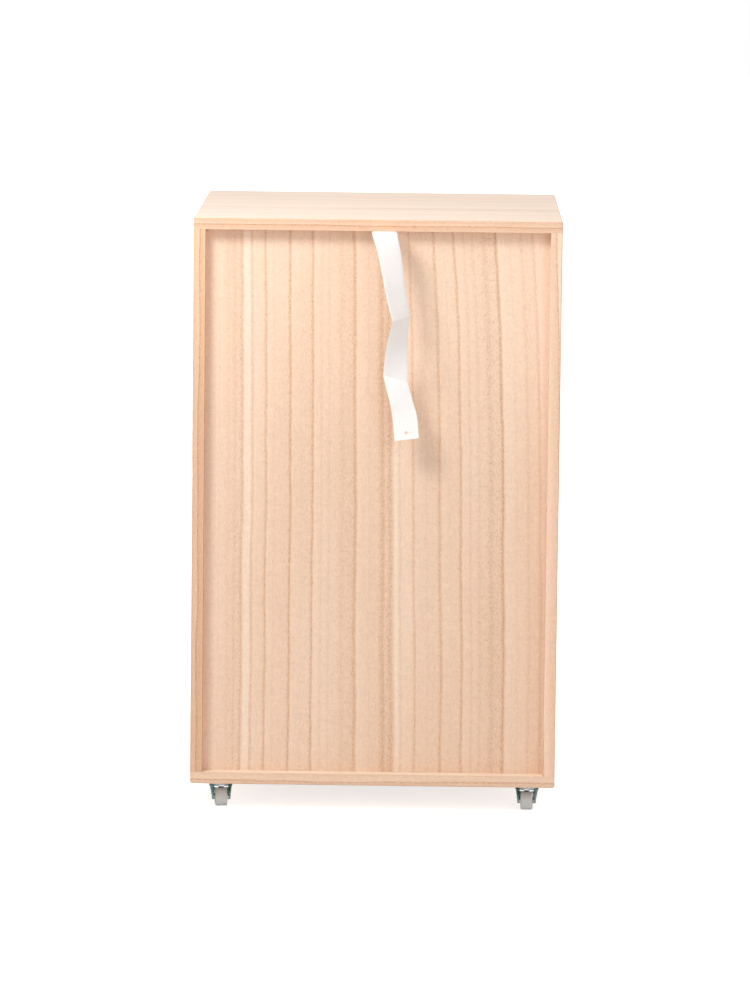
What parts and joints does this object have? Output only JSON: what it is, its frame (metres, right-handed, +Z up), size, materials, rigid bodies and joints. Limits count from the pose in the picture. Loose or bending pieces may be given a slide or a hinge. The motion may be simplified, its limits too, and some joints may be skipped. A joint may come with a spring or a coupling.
{
  "type": "paper storage cabinet",
  "caption": "Upright wooden cabinet of shallow inset drawers for flat square sheets, on small swivel casters, with a strap behind to tie it to a wall.",
  "frame": {"origin": "on the floor, under the centre of the carcass", "axes": "+Z up, -Y the way the drawers open, +X to the right of somebody who faces the drawers"},
  "size_m": [0.375, 0.4126, 0.611],
  "materials": {
    "flat_board_wood": "bare sanded paulownia, grain along the width",
    "side_board_wood": "bare sanded paulownia, grain upright",
    "back_panel_wood": "bare sanded paulownia, edge-glued strips, grain upright",
    "drawer_front_wood": "bare sanded paulownia, grain along the width",
    "drawer_side_wood": "bare sanded paulownia, grain front to rear",
    "drawer_back_wood": "bare sanded paulownia, grain along the width",
    "drawer_bottom_sheet": "thin plywood, bare",
    "runner_wood": "planed wood strip, bare, slightly waxed by wear",
    "strap_webbing": "white ribbed woven webbing",
    "zinc_screws": "bright zinc plating",
    "caster_plate_zinc": "bright zinc plating on pressed sheet",
    "caster_fork_chrome": "polished plating on pressed sheet",
    "bearing_steel": "smooth steel",
    "wheel_plastic": "light grey moulded plastic, satin"
  },
  "bodies": {
    "carcass": {"top_panel": "flat_board_wood", "bottom_panel": "flat_board_wood", "left_side_panel": "side_board_wood", "right_side_panel": "side_board_wood", "back_panel": "back_panel_wood", "left_runners": "runner_wood", "right_runners": "runner_wood", "anti_tip_strap": "strap_webbing", "strap_screw": "zinc_screws", "caster_plate_front_left": "caster_plate_zinc", "caster_plate_front_right": "caster_plate_zinc", "caster_plate_rear_left": "caster_plate_zinc", "caster_plate_rear_right": "caster_plate_zinc", "caster_king_rivets": "bearing_steel"},
    "drawer_1": {"drawer_1_front": "drawer_front_wood", "drawer_1_left_side": "drawer_side_wood", "drawer_1_right_side": "drawer_side_wood", "drawer_1_back": "drawer_back_wood", "drawer_1_bottom": "drawer_bottom_sheet"},
    "drawer_2": {"drawer_2_front": "drawer_front_wood", "drawer_2_left_side": "drawer_side_wood", "drawer_2_right_side": "drawer_side_wood", "drawer_2_back": "drawer_back_wood", "drawer_2_bottom": "drawer_bottom_sheet"},
    "drawer_3": {"drawer_3_front": "drawer_front_wood", "drawer_3_left_side": "drawer_side_wood", "drawer_3_right_side": "drawer_side_wood", "drawer_3_back": "drawer_back_wood", "drawer_3_bottom": "drawer_bottom_sheet"},
    "drawer_4": {"drawer_4_front": "drawer_front_wood", "drawer_4_left_side": "drawer_side_wood", "drawer_4_right_side": "drawer_side_wood", "drawer_4_back": "drawer_back_wood", "drawer_4_bottom": "drawer_bottom_sheet"},
    "drawer_5": {"drawer_5_front": "drawer_front_wood", "drawer_5_left_side": "drawer_side_wood", "drawer_5_right_side": "drawer_side_wood", "drawer_5_back": "drawer_back_wood", "drawer_5_bottom": "drawer_bottom_sheet"},
    "drawer_6": {"drawer_6_front": "drawer_front_wood", "drawer_6_left_side": "drawer_side_wood", "drawer_6_right_side": "drawer_side_wood", "drawer_6_back": "drawer_back_wood", "drawer_6_bottom": "drawer_bottom_sheet"},
    "caster_fork_front_left": {"caster_fork_front_left": "caster_fork_chrome", "caster_axle_front_left": "bearing_steel"},
    "caster_wheel_front_left": {"caster_wheel_front_left": "wheel_plastic"},
    "caster_fork_front_right": {"caster_fork_front_right": "caster_fork_chrome", "caster_axle_front_right": "bearing_steel"},
    "caster_wheel_front_right": {"caster_wheel_front_right": "wheel_plastic"},
    "caster_fork_rear_left": {"caster_fork_rear_left": "caster_fork_chrome", "caster_axle_rear_left": "bearing_steel"},
    "caster_wheel_rear_left": {"caster_wheel_rear_left": "wheel_plastic"},
    "caster_fork_rear_right": {"caster_fork_rear_right": "caster_fork_chrome", "caster_axle_rear_right": "bearing_steel"},
    "caster_wheel_rear_right": {"caster_wheel_rear_right": "wheel_plastic"}
  },
  "joints": [
    {"name": "drawer_1_slide", "type": "slide", "parent": "carcass", "child": "drawer_1", "axis": [0, -1, 0], "range_m": [0, 0.26]},
    {"name": "drawer_2_slide", "type": "slide", "parent": "carcass", "child": "drawer_2", "axis": [0, -1, 0], "range_m": [0, 0.26]},
    {"name": "drawer_3_slide", "type": "slide", "parent": "carcass", "child": "drawer_3", "axis": [0, -1, 0], "range_m": [0, 0.26]},
    {"name": "drawer_4_slide", "type": "slide", "parent": "carcass", "child": "drawer_4", "axis": [0, -1, 0], "range_m": [0, 0.26]},
    {"name": "drawer_5_slide", "type": "slide", "parent": "carcass", "child": "drawer_5", "axis": [0, -1, 0], "range_m": [0, 0.26]},
    {"name": "drawer_6_slide", "type": "slide", "parent": "carcass", "child": "drawer_6", "axis": [0, -1, 0], "range_m": [0, 0.26]},
    {"name": "caster_swivel_front_left", "type": "hinge", "parent": "carcass", "child": "caster_fork_front_left", "pos_m": [-0.1585, -0.1545, 0.0218], "axis": [0, 0, 1], "continuous": true},
    {"name": "caster_roll_front_left", "type": "hinge", "parent": "caster_fork_front_left", "child": "caster_wheel_front_left", "pos_m": [-0.15944, -0.14555, 0.0095], "axis": [0.9945, 0.1045, 0], "continuous": true},
    {"name": "caster_swivel_front_right", "type": "hinge", "parent": "carcass", "child": "caster_fork_front_right", "pos_m": [0.1585, -0.1545, 0.0218], "axis": [0, 0, 1], "continuous": true},
    {"name": "caster_roll_front_right", "type": "hinge", "parent": "caster_fork_front_right", "child": "caster_wheel_front_right", "pos_m": [0.1596, -0.14557, 0.0095], "axis": [0.9925, -0.1219, 0], "continuous": true},
    {"name": "caster_swivel_rear_left", "type": "hinge", "parent": "carcass", "child": "caster_fork_rear_left", "pos_m": [-0.16, 0.1545, 0.0218], "axis": [0, 0, 1], "continuous": true},
    {"name": "caster_roll_rear_left", "type": "hinge", "parent": "caster_fork_rear_left", "child": "caster_wheel_rear_left", "pos_m": [-0.15953, 0.16349, 0.0095], "axis": [0.9986, -0.0523, 0], "continuous": true},
    {"name": "caster_swivel_rear_right", "type": "hinge", "parent": "carcass", "child": "caster_fork_rear_right", "pos_m": [0.157, 0.1545, 0.0218], "axis": [0, 0, 1], "continuous": true},
    {"name": "caster_roll_rear_right", "type": "hinge", "parent": "caster_fork_rear_right", "child": "caster_wheel_rear_right", "pos_m": [0.15622, 0.16347, 0.0095], "axis": [0.9962, 0.0872, 0], "continuous": true}
  ]
}
